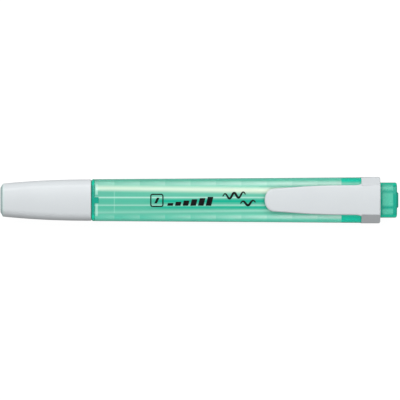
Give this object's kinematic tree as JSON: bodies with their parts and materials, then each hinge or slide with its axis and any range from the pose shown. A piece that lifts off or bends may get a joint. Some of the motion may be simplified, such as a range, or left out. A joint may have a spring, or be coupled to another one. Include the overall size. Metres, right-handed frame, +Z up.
{
  "type": "highlighter pen",
  "caption": "Slim flat pocket highlighter: translucent barrel with visible ink reservoir, pull-off cap, chisel nib, spring clip on a rear collar, and a rear plug that the cap posts on.",
  "frame": {"origin": "bottom centre of the closed pen's bounding box: on the flat back of the barrel, halfway along the pen and on its centre line", "axes": "+X along the pen from the cap to the rear plug, +Z up from the flat back to the clip, +Y to the left when looking along +X with the clip up"},
  "size_m": [0.135, 0.0158, 0.0138],
  "materials": {
    "grey_plastic": "satin",
    "tinted_plastic": "gloss",
    "pale_tinted_plastic": "satin",
    "clear_tinted_plastic": "translucent gloss",
    "nib_fibre": "matte",
    "reservoir_fibre": "matte",
    "clear_film": "clear gloss"
  },
  "bodies": {
    "pen": {"barrel": "clear_tinted_plastic", "nib_holder": "tinted_plastic", "chisel_nib": "nib_fibre", "ink_reservoir": "reservoir_fibre", "reservoir_film": "clear_film", "rear_plug": "tinted_plastic", "clip_collar": "grey_plastic"},
    "cap": {"cap_shell": "grey_plastic", "inner_cap": "pale_tinted_plastic"},
    "clip": {"clip_tongue": "grey_plastic"}
  },
  "joints": [
    {"name": "cap_pull", "type": "slide", "parent": "pen", "child": "cap", "axis": [-1, 0, 0], "range_m": [0, 0.045]},
    {"name": "clip_flex", "type": "hinge", "parent": "pen", "child": "clip", "pos_m": [0.0535, 0, 0.0138], "axis": [0, 1, 0], "range_deg": [0, 4.5], "stiffness_Nm_per_rad": 2}
  ]
}
